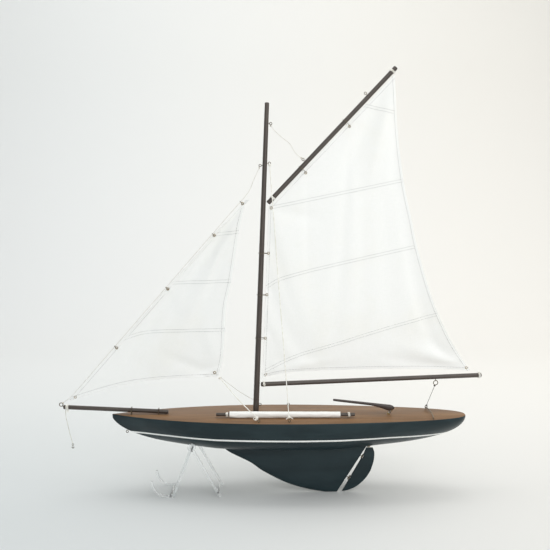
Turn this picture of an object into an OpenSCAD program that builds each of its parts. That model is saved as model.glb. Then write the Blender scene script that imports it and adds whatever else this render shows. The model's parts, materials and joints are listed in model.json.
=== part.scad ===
// Pond yacht: gaff cutter rig on a long shallow hull with a fin keel and a raked rudder.
// Stations run aft from the stem head, heights are from the deck, +Y is starboard.

/* [Hull] */
// Length of the deck from stem to stern
hull_len = 705; // [695:1:715]
// Widest beam, at the deck
beam = 154; // [148:1:160]
// Depth of the canoe body below the deck
body_depth = 70; // [68:1:71]
// Thickness of the hull shell
wall = 5; // [4:0.5:6]
// Thickness of the deck panel
deck_t = 3; // [2:0.5:4]
// Height of the deck above the floor
deck_height = 159; // [157:1:162]
// Thickness of the keel fin
keel_t = 10; // [8:1:12]
// Height of the lead shoe under the fin
lead_h = 24; // [18:1:28]

/* [Rudder] */
// Thickness of the rudder blade
blade_t = 6; // [5:1:8]
// Angle of the rudder stock from upright, leaning aft
stock_rake = 30.9; // [30.5:0.1:31.5]
// Radius of the rudder stock
stock_r = 2; // [1.8:0.1:2.2]
// Radial clearance of the stock in its tube
stock_play = 0.06; // [0.04:0.01:0.1]

/* [Mast and spars] */
// Lean of the mast aft from upright
mast_rake = 2.14; // [1.8:0.1:2.5]
// Radius of the mast at the deck
mast_r = 6; // [5.5:0.1:6.2]
// Radius of the mast at its head
mast_top_r = 4.25; // [3.8:0.05:4.6]
// Height of the mast above the deck
mast_h = 613; // [600:1:625]
// Radius of the boom and the gaff
spar_r = 4.5; // [4:0.1:4.8]
// Length of the boom
boom_len = 457; // [445:1:465]
// Length of the gaff
gaff_len = 366; // [355:1:372]
// Radius of the bowsprit
bowsprit_r = 4.25; // [4:0.05:4.5]

/* [Rig] */
// Angle of the boom off the centreline, to starboard
boom_angle = 8; // [6:0.5:8]
// Thickness of the sailcloth with its hem
cloth_t = 0.6; // [0.5:0.1:1]
// Radius of the wire in the small fittings
wire_r = 0.8; // [0.7:0.05:0.9]
// Radius of the white cord
cord_r = 1; // [0.8:0.1:1.1]
// Radius of the thin thread
thread_r = 0.4; // [0.3:0.05:0.5]

/* [Stand] */
// Half the width of the stand
stand_half = 36; // [35:1:38]
// Thickness of the clear sheet
stand_t = 3; // [2.5:0.5:3]

/* [Hidden] */
$fn = 32;

// Colours
hull_paint = [0.16, 0.21, 0.22];
deck_wood = [0.55, 0.42, 0.32];
spar_wood = [0.28, 0.24, 0.21];
pale_wood = [0.75, 0.62, 0.45];
cloth = [0.93, 0.93, 0.90];
cord_white = [0.95, 0.94, 0.88];
wire_metal = [0.42, 0.38, 0.33];
brass = [0.72, 0.58, 0.30];
lead = [0.45, 0.46, 0.48];
acrylic = [0.85, 0.92, 0.95, 0.4];

// ---- Hull form -----------------------------------------------------------------------------
wide_at = 0.52 * hull_len;
function bow_u(s) = (wide_at - s) / wide_at;
function stern_u(s) = (s - wide_at) / (hull_len - wide_at);
function between(x, a, b) = min(1, max(0, (x - a) / (b - a)));

// Half-breadth of the deck and depth of the body at a station
function half_breadth(s) = beam / 2 * (s < wide_at
  ? pow(1 - pow(bow_u(s), 2.5), 0.98)
  : pow(1 - pow(stern_u(s), 1.4), 0.4));
function depth(s) = body_depth * (s < wide_at
  ? pow(1 - pow(bow_u(s), 3), 0.55)
  : pow(1 - pow(stern_u(s), 2), 0.4));

// Sections change from a V at the bow to an ellipse amidships and to a slack curve aft
function fullness(s) = s < wide_at ? between(s, 60, 210) : 1 - between(s, 450, 550);
function section_m(s) = s < wide_at ? 1.1 + 0.9 * fullness(s) : 1.7 + 0.3 * fullness(s);
function section_n(s) = s < wide_at ? 0.95 - 0.45 * fullness(s) : 0.8 - 0.3 * fullness(s);

// Half a section, from the deck edge down to the keel line, as [y, z]
function half_section(s, b, d, top, steps) = [
  for (k = [0:steps]) let (w = fullness(s), v = (1 - w) * k / steps + w * sin(90 * k / steps))
    [b * pow(max(0, 1 - pow(v, section_m(s))), section_n(s)), top - (d + top) * v]
];
function section(s, b, d, top, steps) = let (h = half_section(s, b, d, top, steps)) concat(
  [for (k = [0:steps]) [s, h[k][0], h[k][1]]],
  [for (k = [steps - 1:-1:0]) [s, -h[k][0], h[k][1]]]
);

// A closed solid through a list of sections that all have the same number of points
module loft(rings) {
  n = len(rings[0]);
  last = len(rings) - 1;
  polyhedron(
    points = [for (r = rings) for (p = r) p],
    faces = concat(
      [[for (k = [n - 1:-1:0]) k]],
      [for (i = [0:last - 1]) for (k = [0:n - 1]) for (f = [
        [i * n + k, i * n + (k + 1) % n, (i + 1) * n + (k + 1) % n],
        [i * n + k, (i + 1) * n + (k + 1) % n, (i + 1) * n + k]
      ]) f],
      [[for (k = [0:n - 1]) last * n + k]]
    )
  );
}

outer_steps = 9;
outer_stations = 34;
// Length of the tools that cut right through
cut = 150;
bow_cut = 3;
stern_cut = hull_len - 1.5;
module hull_outside() {
  loft([for (i = [0:outer_stations])
    let (s = bow_cut + (stern_cut - bow_cut) * (1 - cos(180 * i / outer_stations)) / 2)
    section(s, half_breadth(s), depth(s), -deck_t, outer_steps)]);
}

inner_steps = 6;
inner_stations = 18;
inner_from = 46;
inner_to = 668;
module hull_inside(above = 1) {
  loft([for (i = [0:inner_stations])
    let (s = inner_from + (inner_to - inner_from) * i / inner_stations)
    section(s, half_breadth(s) - wall, depth(s) - wall, above - deck_t, inner_steps)]);
}

// ---- Shared shapes -------------------------------------------------------------------------
// A rod between two points
module rod(a, b, r) {
  d = b - a;
  translate(a) rotate([0, acos(d[2] / norm(d)), atan2(d[1], d[0])]) cylinder(h = norm(d), r = r);
}

// A wire ring in the XZ plane, centred on the origin
module ring(mean_r, wire) {
  rotate([90, 0, 0]) rotate_extrude() translate([mean_r, 0]) circle(r = wire);
}

// A screw eye standing on the origin along +Z, with its thread sunk below
eye_mean_r = 4.6;
eye_neck = 3;
module screw_eye(thread) {
  translate([0, 0, eye_neck + eye_mean_r]) ring(eye_mean_r, wire_r);
  translate([0, 0, -thread]) cylinder(h = thread + eye_neck + wire_r / 2, r = wire_r);
}
module eye_hole(thread) {
  translate([0, 0, -thread]) cylinder(h = thread + 1, r = wire_r);
}

// A round tube swept along points, one ring of corners at each point
function unit(v) = v / norm(v);
function tangent(p, i) = unit(p[min(i + 1, len(p) - 1)] - p[max(i - 1, 0)]);
function side_of(t) = unit(cross(t, abs(t[1]) < 0.9 ? [0, 1, 0] : [1, 0, 0]));
module tube(p, r, sides = 8) {
  loft([for (i = [0:len(p) - 1]) let (t = tangent(p, i), a = side_of(t), b = cross(t, a))
    [for (k = [0:sides - 1]) let (w = 360 * k / sides) p[i] + r * (cos(w) * a - sin(w) * b)]]);
}

// Turns of thread side by side round a rod of radius r, along +Z from the origin
module whipping(turns, r, thread = cord_r * 0.7) {
  for (i = [0:turns - 1]) translate([0, 0, (2 * i + 1) * thread])
    rotate_extrude() translate([r + thread, 0]) circle(r = thread);
}

// ---- Keel, mast and rudder places ----------------------------------------------------------
mast_station = 287.7;
module on_mast() {
  translate([mast_station, 0, 0]) rotate([0, mast_rake, 0]) children();
}
function mast_radius(h) = mast_r + (mast_top_r - mast_r) * h / mast_h;
mast_heel = 54;

// The sails swing about a line parallel to the mast, through the fore end of the boom
swing_station = 299.6;
swing_height = 60.3;
module on_boom_axis(angle = boom_angle) {
  translate([swing_station, 0, swing_height]) rotate([0, mast_rake, 0]) rotate([0, 0, angle]) children();
}

// Boom and gaff in the sail's own plane: u runs aft from the swing line, v up along it
boom_slope = 2.75;
gaff_slope = 48.4;
throat_v = 360.5;
gaff_throat_u = 0.5;
gaff_start = -2;
boom_fore_u = -1.5;
module along_boom() {
  translate([boom_fore_u, 0, 0]) rotate([0, 90 - boom_slope, 0]) children();
}
module along_gaff() {
  translate([gaff_throat_u, 0, throat_v]) rotate([0, 90 - gaff_slope, 0]) children();
}

// The jib's luff runs from its tack to its head; l runs up it and p runs aft of it
jib_tack = [-86.3, 0, 27.4];
luff_angle = 48.86;
module on_luff() {
  translate(jib_tack) rotate([0, 90 - luff_angle, 0]) children();
}
function up_luff(l, p = 0) = jib_tack + l * [cos(luff_angle), 0, sin(luff_angle)]
  + p * [sin(luff_angle), 0, -cos(luff_angle)];

// The rudder turns about a raked line through the hull
stock_station = 552.3;
module on_stock() {
  translate([stock_station, 0, 0]) rotate([0, stock_rake, 0]) children();
}
stock_low = -80;
stock_high = 16;
tube_wall = 1.2;
tube_r = stock_r + stock_play + tube_wall;

// ---- Hull nodes ----------------------------------------------------------------------------
keel_bolt_stations = [360, 425];
keel_bolt_r = 1.5;
module hull_shell() ship() color(hull_paint) difference() {
  hull_outside();
  hull_inside();
  on_stock() cylinder(h = 2 * cut, r = tube_r, center = true);
  for (s = keel_bolt_stations) translate([s, 0, -body_depth])
    cylinder(h = 4 * wall, r = keel_bolt_r, center = true);
  stem_eye_place() eye_hole(4);
}

horse_station = 637;
horse_half = 7.35;
eye_stations = [295, 353.5];
eye_side = 64;
module deck_outline() {
  steps = 40;
  stations = [for (i = [0:steps]) bow_cut + (stern_cut - bow_cut) * (1 - cos(180 * i / steps)) / 2];
  polygon(concat([for (s = stations) [s, half_breadth(s)]],
    [for (i = [steps:-1:0]) [stations[i], -half_breadth(stations[i])]]));
}
module deck() ship() color(deck_wood) difference() {
  translate([0, 0, -deck_t]) linear_extrude(deck_t) deck_outline();
  on_mast() cylinder(h = cut / 3, r = mast_r, center = true);
  on_stock() cylinder(h = cut / 3, r = tube_r, center = true);
  deck_eye_places() eye_hole(deck_t + 1);
  horse_legs(1);
  saddle_legs(1);
}

// Beams under the deck, and the block that the mast stands in
beam_stations = [150, 400, 600];
beam_size = 8;
beam_gap = 3;
module deck_beams() ship() color(pale_wood) for (s = beam_stations) {
  half = half_breadth(s) - wall - beam_gap;
  translate([s - beam_size / 2, -half, -deck_t - beam_size]) cube([beam_size, 2 * half, beam_size]);
}

step_top = -46;
step_size = [52, 24];
module mast_step() ship() color(pale_wood) difference() {
  intersection() {
    translate([mast_station - step_size[0] / 2, -step_size[1] / 2, -body_depth])
      cube([step_size[0], step_size[1], body_depth + step_top]);
    hull_inside();
  }
  on_mast() translate([0, 0, -mast_heel]) cylinder(h = mast_heel, r = mast_r);
}

// The fin: a long curved fore edge and a straight raked aft edge
fin_fore = [[215, -58], [233, -76], [276, -98], [300, -115], [336, -134.5], [366, -146.3],
  [396, -154], [427, -159]];
fin_aft_foot = [450.4, -159];
fin_aft_top = [511, -62];
module fin_outline() {
  polygon(concat(fin_fore, [fin_aft_foot, fin_aft_top]));
}
module fin_plate() {
  rotate([90, 0, 0]) translate([0, 0, -keel_t / 2]) linear_extrude(keel_t) fin_outline();
}
module lead_zone() {
  translate([fin_fore[0][0], -keel_t, -deck_height - 1])
    cube([fin_aft_top[0] - fin_fore[0][0], 2 * keel_t, lead_h + 1]);
}
module keel_fin() ship() color(hull_paint) difference() {
  fin_plate();
  hull_outside();
  lead_zone();
  for (s = keel_bolt_stations) translate([s, 0, -deck_height]) cylinder(h = cut, r = keel_bolt_r);
  gudgeon_places() rotate([0, -90, 0]) cylinder(h = gudgeon_shank + 3, r = wire_r);
}
module keel_ballast() ship() color(lead) difference() {
  intersection() {
    fin_plate();
    lead_zone();
  }
  for (s = keel_bolt_stations) translate([s, 0, bolt_foot]) cylinder(h = cut, r = keel_bolt_r);
}
bolt_foot = -deck_height + 15;
bolt_head = -59;
nut_r = 3.2;
nut_gap = 0.3;
function nut_foot(s) = wall + nut_gap - depth(s);
module keel_bolts() ship() color(brass) for (s = keel_bolt_stations) {
  translate([s, 0, bolt_foot]) cylinder(h = bolt_head - bolt_foot, r = keel_bolt_r);
  translate([s, 0, nut_foot(s)]) cylinder(h = 3, r = nut_r, $fn = 6);
}

tube_low = -76;
tube_high = 2;
module rudder_tube() ship() color(brass) on_stock() difference() {
  translate([0, 0, tube_low]) cylinder(h = tube_high - tube_low, r = tube_r);
  translate([0, 0, tube_low - 1]) cylinder(h = tube_high - tube_low + 2, r = stock_r + stock_play);
}

// Two screw eyes in the fin's aft edge carry the rudder's pins
gudgeon_heights = [-101, -152];
gudgeon_eye_r = 2.8;
gudgeon_wire = 0.7;
gudgeon_shank = 8;
module gudgeon_places() {
  for (h = gudgeon_heights) on_stock() translate([0, 0, h]) children();
}
module rudder_gudgeons() ship() color(wire_metal) gudgeon_places() {
  rotate_extrude() translate([gudgeon_eye_r, 0]) circle(r = gudgeon_wire);
  rotate([0, -90, 0]) translate([0, 0, gudgeon_eye_r]) cylinder(h = gudgeon_shank, r = gudgeon_wire);
}

// ---- Mast and its fittings -----------------------------------------------------------------
fore_eye_h = 492;
aft_eye_h = 497;
head_eye_h = 573;
module mast_eye_places() {
  on_mast() translate([-mast_radius(fore_eye_h), 0, fore_eye_h]) rotate([0, -90, 0]) children();
  on_mast() translate([mast_radius(aft_eye_h), 0, aft_eye_h]) rotate([0, 90, 0]) children();
  on_mast() translate([mast_radius(head_eye_h), 0, head_eye_h]) rotate([0, 90, 0]) children();
}
small_eye = 2.3;
small_neck = 2;
small_wire = wire_r * 0.8;
small_thread = 3;
module small_screw_eye(neck = small_neck, thread = small_thread) {
  translate([0, 0, neck + small_eye]) ring(small_eye, small_wire);
  translate([0, 0, -thread]) cylinder(h = thread + neck, r = small_wire);
}
module small_eye_hole() {
  translate([0, 0, -small_thread]) cylinder(h = small_thread + small_neck, r = small_wire);
}
module mast() ship() color(spar_wood) difference() {
  on_mast() union() {
    translate([0, 0, -mast_heel]) cylinder(h = mast_heel, r = mast_r);
    cylinder(h = mast_h, r1 = mast_r, r2 = mast_top_r);
  }
  mast_eye_places() small_eye_hole();
}
module mast_eyes() ship() color(wire_metal) mast_eye_places() small_screw_eye();

// Wire hoops hold the mainsail's luff to the mast
hoop_v = [93, 179.5, 261.5];
hoop_r = 9.6;
hoop_shift = 3.2;
hoop_wire = 0.5;
module mast_hoops() ship() color(wire_metal) for (v = hoop_v)
  on_mast() translate([hoop_shift, 0, v + swing_height]) rotate_extrude()
    translate([hoop_r, 0]) circle(r = hoop_wire);

// ---- Bowsprit ------------------------------------------------------------------------------
bowsprit_heel = [113.6, 0, 4.7];
bowsprit_tip = [-95.6, 0, 14.2];
saddle_stations = [40, 94];
function bowsprit_at(s) = bowsprit_heel + (bowsprit_tip - bowsprit_heel)
  * (s - bowsprit_heel[0]) / (bowsprit_tip[0] - bowsprit_heel[0]);
module bowsprit() ship() color(spar_wood) difference() {
  rod(bowsprit_heel, bowsprit_tip, bowsprit_r);
  bowsprit_eye_place() translate([0, 0, -bow_eye_thread])
    cylinder(h = bow_eye_thread + 2 * bowsprit_r, r = wire_r);
}
lashing_station = -84;
bowsprit_lift = atan2(bowsprit_tip[2] - bowsprit_heel[2], bowsprit_heel[0] - bowsprit_tip[0]);

// The eye at its end leans forward and up, where the stay and the jib's tack are made fast
bow_eye_base = bowsprit_tip + [0.5, 0, 0];
bow_eye_tilt = 45;
bow_eye_r = 3.5;
bow_eye_reach = 7;
bow_eye_thread = 5;
module bowsprit_eye_place() {
  translate(bow_eye_base) rotate([0, -bow_eye_tilt, 0]) children();
}
module bowsprit_eye() ship() color(wire_metal) bowsprit_eye_place() {
  translate([0, 0, bow_eye_reach]) ring(bow_eye_r, wire_r);
  translate([0, 0, -bow_eye_thread]) cylinder(h = bow_eye_thread + bow_eye_reach - bow_eye_r, r = wire_r);
}
saddle_out = bowsprit_r + wire_r + 0.1;
function saddle_top(s) = bowsprit_at(s)[2] + saddle_out;
module saddle_legs(extra = 0) {
  for (s = saddle_stations) for (side = [-1, 1]) translate([s, side * saddle_out, -deck_t - extra])
    cylinder(h = deck_t + extra + (extra > 0 ? 1 : saddle_top(s)), r = wire_r);
}
module bowsprit_saddles() ship() color(wire_metal) {
  saddle_legs();
  for (s = saddle_stations) {
    translate([s, -saddle_out, saddle_top(s)]) rotate([-90, 0, 0]) cylinder(h = 2 * saddle_out, r = wire_r);
    for (side = [-1, 1]) translate([s, side * saddle_out, saddle_top(s)]) sphere(r = wire_r);
  }
}
module bowsprit_lashing() ship() color(cord_white) translate(bowsprit_at(lashing_station))
  rotate([0, bowsprit_lift - 90, 0]) whipping(4, bowsprit_r);

short_neck = 1.5;
module stem_eye_place() {
  translate([32.1, 0, -31.9]) rotate([0, 200, 0]) children();
}
module stem_eye() ship() color(wire_metal) stem_eye_place() small_screw_eye(short_neck, 4);

// ---- Deck fittings -------------------------------------------------------------------------
module deck_eye_places() {
  for (s = eye_stations) for (side = [-1, 1]) translate([s, side * eye_side, 0]) children();
}
module deck_eyes() ship() color(wire_metal) deck_eye_places() {
  translate([0, 0, short_neck + small_eye]) ring(small_eye, small_wire);
  translate([0, 0, -deck_t]) cylinder(h = deck_t + short_neck, r = wire_r);
}

// The horse is a wire arc about the boom's swing line, so the sheet's ring can run along it
horse_lift = 4;
horse_r = 339.3;
horse_local = floor(10 * (horse_lift - swing_height + horse_r * sin(mast_rake)) / cos(mast_rake)) / 10;
module horse_legs(extra = 0) {
  leg = horse_lift + deck_t + extra;
  on_boom_axis(0) for (side = [-1, 1]) rotate([0, 0, side * horse_half])
    translate([horse_r, 0, horse_local - leg]) cylinder(h = leg, r = wire_r);
}
module mainsheet_horse() ship() color(wire_metal) {
  horse_legs();
  on_boom_axis(0) translate([0, 0, horse_local]) rotate([0, 0, -horse_half])
    rotate_extrude(angle = 2 * horse_half, $fn = 90) translate([horse_r, 0]) circle(r = wire_r, $fn = 24);
  on_boom_axis(0) for (side = [-1, 1]) rotate([0, 0, side * horse_half])
    translate([horse_r, 0, horse_local]) sphere(r = wire_r);
}

// ---- Running rigging that stays with the hull ----------------------------------------------
module forestay() ship() color(cord_white) tube([
  [-96.3, 0, 22.4], up_luff(20), up_luff(120), up_luff(240), up_luff(360), up_luff(480), up_luff(545),
  [284, 0, 463], [295.5, 0, 487.5]
], thread_r);
module main_halyard() ship() color(cord_white) tube([
  [316, -2.5, 493], [316.5, -4, 480], [323, -14, 400], [331, -28, 290], [339, -41, 190], [347, -54, 90],
  [352, -62.5, 20], [353, -64, 8]
], cord_r);
module peak_halyard() ship() color(cord_white) tube([
  [317.5, 0, 568], [325, 1, 559], [334, 2, 550.5], [344.5, 4, 542], [354.5, 5.5, 534], [363, 6.5, 520],
  [370, 8, 512], [377, 9, 507]
], thread_r);
module jib_sheet_port() ship() color(cord_white) tube([
  [217, -3, 74], [224, -9, 67], [238, -20, 53], [256, -34, 36], [276, -49, 20], [291, -61, 9]
], cord_r);
module jib_sheet_starboard() ship() color(cord_white) tube([
  [217, 3, 74], [224, 9, 67], [238, 20, 53], [256, 34, 36], [276, 49, 20], [291, 61, 9]
], thread_r);

// A spare sail rolled on its spar lies on deck beside the mast
roll_axis_y = -29;
roll_r = 6.3;
stowed_r = 3.4;
stowed_from = 210.6;
stowed_to = 482.6;
roll_from = 237;
roll_to = 454;
tie_stations = [229, 468];
module along_roll(s) {
  translate([s, roll_axis_y, roll_r + 0.3]) rotate([0, 90, 0]) children();
}
module stowed_spar() ship() color(spar_wood) along_roll(stowed_from)
  cylinder(h = stowed_to - stowed_from, r = stowed_r);
module rolled_sail() ship() color(cloth) along_roll(roll_from) difference() {
  cylinder(h = roll_to - roll_from, r = roll_r);
  translate([0, 0, -1]) cylinder(h = roll_to - roll_from + 2, r = stowed_r);
}
module spar_ties() ship() color(cord_white) for (s = tie_stations) along_roll(s) whipping(3, stowed_r);

// The bobstay hangs unhooked from the end of the bowsprit
module bobstay() ship() color(cord_white) tube([
  [-91.5, 0, 9], [-91.5, 0, 0], [-90, 0, -12], [-87, 0, -26], [-84, 0, -40], [-81, 0, -52], [-79, 0, -60]
], thread_r);
hook_wire = 0.5;
hook_ring_r = 1.7;
hook_foot = [0, 0, -8];
module bobstay_hook() ship() color(wire_metal) translate([-78.6, 0, -62.3]) {
  ring(hook_ring_r, hook_wire);
  rod([0, 0, -hook_ring_r], hook_foot, hook_wire);
  translate(hook_foot) sphere(r = hook_wire);
  for (side = [-1, 1]) rod(hook_foot, hook_foot + [side * 3, 0, 3], hook_wire);
}

// ---- Rudder nodes --------------------------------------------------------------------------
// Outline of the blade: its aft edge from the stock to the foot, then its fore edge back up
blade_edge = [[508.5, -68.7], [521.5, -67.8], [524.6, -76], [525.2, -84], [524, -95], [521, -106],
  [517, -117], [511, -127], [505, -134.5], [498, -141.5], [491, -147.2], [483, -151.8], [475, -155],
  [468, -157], [460.5, -158.2],
  [473.8, -134], [475.6, -130.8], [500.6, -86.5], [502.4, -83.3]];
stock_foot = stock_low - 8;
module rudder_blade() ship() color(hull_paint) difference() {
  rotate([90, 0, 0]) translate([0, 0, -blade_t / 2]) linear_extrude(blade_t)
    polygon(blade_edge);
  on_stock() translate([0, 0, stock_foot]) cylinder(h = cut, r = stock_r);
  gudgeon_places() cylinder(h = blade_t, r = gudgeon_eye_r + gudgeon_wire + 0.8, center = true);
  on_stock() pintles();
}
module rudder_stock() ship() color(brass) difference() {
  on_stock() translate([0, 0, stock_foot]) cylinder(h = stock_high - stock_foot, r = stock_r);
  pin_across();
}

// Each pintle is a pin through a gudgeon, held to the blade by an arm above it
pintle_heights = [-97, -148];
pintle_r = 1.5;
pin_drop = 8;
pintle_arm = 12;
module pintles() {
  for (h = pintle_heights) {
    translate([0, 0, h - pin_drop]) cylinder(h = pin_drop + pintle_r, r = pintle_r);
    translate([0, 0, h]) rotate([0, 90, 0]) cylinder(h = pintle_arm, r = gudgeon_wire);
  }
}
module rudder_pintles() ship() color(wire_metal) on_stock() pintles();

// The tiller is one carved stick with a thick head that fits over the stock
tiller_w = 7;
module tiller() ship() color(spar_wood) difference() {
  rotate([90, 0, 0]) translate([0, 0, -tiller_w / 2]) linear_extrude(tiller_w)
    polygon([[441.5, 26.4], [442.5, 31.2], [530, 21.6], [556, 18.8], [563.6, 14.4], [561.8, 8.4],
      [553, 6.6], [533, 13.8], [520, 17.2]]);
  on_stock() cylinder(h = stock_high, r = stock_r);
  pin_across();
}
pin_height = 12.5;
pin_r = 0.8;
module pin_across() {
  on_stock() translate([0, 0, pin_height]) rotate([90, 0, 0])
    cylinder(h = tiller_w + 1, r = pin_r, center = true);
}
module tiller_pin() ship() color(brass) pin_across();

// ---- Boom, gaff and mainsail ---------------------------------------------------------------
boom_eye_at = 360;
gaff_eye_at = [107, 285];
module boom() ship() color(spar_wood) on_boom_axis() difference() {
  along_boom() cylinder(h = boom_len, r = spar_r);
  along_boom() boom_eye_place() eye_hole(spar_r);
}
module boom_eye() ship() color(wire_metal) on_boom_axis() along_boom() boom_eye_place() screw_eye(spar_r);
module boom_eye_place() {
  translate([spar_r, 0, boom_eye_at]) rotate([0, 90, 0]) children();
}

// The sheet runs from the boom's eye to a ring on the horse, just inside the horse's end
sheet_lag = 1;
sheet_angle = boom_angle - sheet_lag;
sheet_ring_r = 2.6;
sheet_ring_wire = 0.5;
sheet_top = [356.8, 0, -1.2];
sheet_foot = [horse_r + 0.6, -horse_r * sin(sheet_lag), horse_local + 3.3];
module mainsheet_ring() ship() color(wire_metal) on_boom_axis(sheet_angle)
  translate([horse_r, 0, horse_local]) ring(sheet_ring_r, sheet_ring_wire);
module mainsheet() ship() color(spar_wood) on_boom_axis() rod(sheet_top, sheet_foot, thread_r);
module boom_lashings() ship() color(cord_white) on_boom_axis() along_boom() {
  for (at = [3, boom_len - 8]) translate([0, 0, at]) whipping(3, spar_r);
}

// Outline of the mainsail, as [u, v]
main_outline = [[1.7, 14], [42, 23.5], [95, 28.5], [153, 31], [240, 34], [343, 34.5], [430, 32],
  [400, 71], [375, 110], [338, 185], [304, 281], [289, 336], [268, 415], [250, 525], [240, 618], [1, 352]];
eyelet_r = 2.3;
eyelet_wire = 0.6;
main_luff_holes = [for (v = hoop_v) [3.6, v]];
gaff_hoop_at = [92, 217];
function under_gaff(t, drop) = [gaff_throat_u + t * cos(gaff_slope) + drop * sin(gaff_slope),
  throat_v + t * sin(gaff_slope) - drop * cos(gaff_slope)];
main_corner_holes = [[7, 20], [422, 37], [236.5, 609], [6, 350]];
gaff_hole_drop = 13;
main_gaff_holes = [for (t = gaff_hoop_at) under_gaff(t, gaff_hole_drop)];
module flat_sail(outline, holes) {
  rotate([90, 0, 0]) translate([0, 0, -cloth_t / 2]) linear_extrude(cloth_t) difference() {
    polygon(outline);
    for (h = holes) translate(h) circle(r = eyelet_r + eyelet_wire);
  }
}
module sail_eyelets(holes) {
  for (h = holes) translate([h[0], 0, h[1]]) ring(eyelet_r, eyelet_wire);
}
module mainsail() ship() color(cloth) on_boom_axis()
  flat_sail(main_outline, concat(main_luff_holes, main_corner_holes, main_gaff_holes));
module mainsail_eyelets() ship() color(brass) on_boom_axis()
  sail_eyelets(concat(main_luff_holes, main_corner_holes, main_gaff_holes));

module gaff() ship() color(spar_wood) on_boom_axis() difference() {
  along_gaff() translate([0, 0, gaff_start]) cylinder(h = gaff_len, r = spar_r);
  gaff_eye_places() small_eye_hole();
}
module gaff_eye_places() {
  for (t = gaff_eye_at) along_gaff() translate([-spar_r, 0, t]) rotate([0, -90, 0]) children();
}
module gaff_eyes() ship() color(wire_metal) on_boom_axis() gaff_eye_places() small_screw_eye();

// Wire hoops hang the head of the sail from the gaff
gaff_hoop_r = 9.4;
module gaff_hoops() ship() color(wire_metal) on_boom_axis() for (t = gaff_hoop_at)
  along_gaff() translate([gaff_hoop_r - spar_r - 1, 0, t]) rotate_extrude()
    translate([gaff_hoop_r, 0]) circle(r = hoop_wire);
module gaff_lashings() ship() color(cord_white) on_boom_axis() along_gaff() {
  for (at = [9, gaff_len - 16]) translate([0, 0, at]) whipping(3, spar_r);
}

// ---- Jib -----------------------------------------------------------------------------------
// Outline of the jib, as [p, l]: l runs up the luff and p runs aft of it
jib_outline = [[1.5, 2], [39, 64], [77, 117], [132, 176], [194, 234],
  [170, 275], [115, 345], [86, 396], [34, 479], [12, 521], [1.5, 538]];
jib_luff_holes = [[4.6, 145], [4.6, 301], [4.6, 441]];
jib_corner_holes = [[6.5, 15], [183, 235], [5.5, 524]];
module jib() ship() color(cloth) on_luff() flat_sail(jib_outline, concat(jib_luff_holes, jib_corner_holes));
module jib_eyelets() ship() color(brass) on_luff() sail_eyelets(concat(jib_luff_holes, jib_corner_holes));
hank_r = 3.3;
hank_p = 2.2;
module jib_hanks() ship() color(wire_metal) on_luff()
  for (h = concat(jib_luff_holes, [jib_corner_holes[2]]))
    translate([hank_p, 0, h[1]]) rotate_extrude() translate([hank_r, 0]) circle(r = hoop_wire);

// ---- Stand ---------------------------------------------------------------------------------
// Each side is bent clear strip: a rounded top, two legs and a curled lip in front
stand_top = [162.3, -58.5];
stand_feet = [[126, -deck_height], [217.4, -deck_height]];
stand_top_r = 8;
leg_w = 5;
lip_r = 32;
lip_out = 12;
lip_w = leg_w - 1;
module strip(a, b) {
  hull() for (p = [a, b]) translate(p) circle(d = leg_w);
}
module stand_side() {
  foot_lift = [0, leg_w / 2];
  difference() {
    union() {
      translate(stand_top) circle(r = stand_top_r);
      strip(stand_top, stand_feet[0] + foot_lift);
      strip(stand_top, stand_feet[1] + foot_lift);
      translate([stand_feet[0][0] - lip_out, -deck_height + lip_r]) rotate(180) intersection() {
        difference() {
          circle(r = lip_r);
          circle(r = lip_r - lip_w);
        }
        translate([-lip_out, 0]) square(lip_r + lip_out);
      }
    }
    translate(stand_top) circle(r = stand_top_r - leg_w);
  }
}
module stand_plate(y) {
  ship() color(acrylic) rotate([90, 0, 0]) translate([0, 0, -y]) linear_extrude(stand_t) stand_side();
}
module stand_port() stand_plate(-stand_half + stand_t);
module stand_starboard() stand_plate(stand_half);
bar_r = 2;
bar_places = [[162.3, -65.3], [120, -deck_height + 2.6], [213.5, -deck_height + 9.5]];
module stand_bars() ship() color(acrylic) for (p = bar_places)
  translate([p[0], stand_half - stand_t, p[1]]) rotate([90, 0, 0])
    cylinder(h = 2 * (stand_half - stand_t), r = bar_r);

// ---- Place of the whole model --------------------------------------------------------------
// Where the model's own origin is: under the middle of its whole length, on the floor
fore_end = bow_eye_base[0] - bow_eye_reach * sin(bow_eye_tilt) - bow_eye_r - wire_r;
boom_end = [boom_fore_u + boom_len * cos(boom_slope), boom_len * sin(boom_slope)];
aft_end = swing_station + boom_end[0] * cos(boom_angle) * cos(mast_rake) + boom_end[1] * sin(mast_rake)
  + spar_r * sin(boom_angle);
mid_station = (fore_end + aft_end) / 2;
module ship() {
  translate([-mid_station, 0, deck_height]) children();
}

// ---- Show ----------------------------------------------------------------------------------
hull_shell();
deck();
deck_beams();
mast_step();
keel_fin();
keel_ballast();
keel_bolts();
rudder_tube();
rudder_gudgeons();
mast();
mast_hoops();
mast_eyes();
bowsprit();
bowsprit_saddles();
bowsprit_eye();
bowsprit_lashing();
stem_eye();
mainsheet_horse();
deck_eyes();
forestay();
main_halyard();
peak_halyard();
jib_sheet_port();
jib_sheet_starboard();
stowed_spar();
rolled_sail();
spar_ties();
bobstay();
bobstay_hook();
rudder_blade();
rudder_stock();
rudder_pintles();
tiller();
tiller_pin();
boom();
boom_eye();
mainsheet();
mainsheet_ring();
boom_lashings();
mainsail();
mainsail_eyelets();
gaff();
gaff_eyes();
gaff_hoops();
gaff_lashings();
jib();
jib_eyelets();
jib_hanks();
stand_port();
stand_starboard();
stand_bars();
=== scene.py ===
"""Looks of a gaff-rigged pond yacht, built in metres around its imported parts.

Stations run aft from the stem head, heights are from the deck, and +Y is starboard, all in millimetres.
"""

import json
import math

import bmesh
import bpy
import numpy as np
from mathutils import Matrix, Vector, noise
from mathutils.bvhtree import BVHTree

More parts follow.
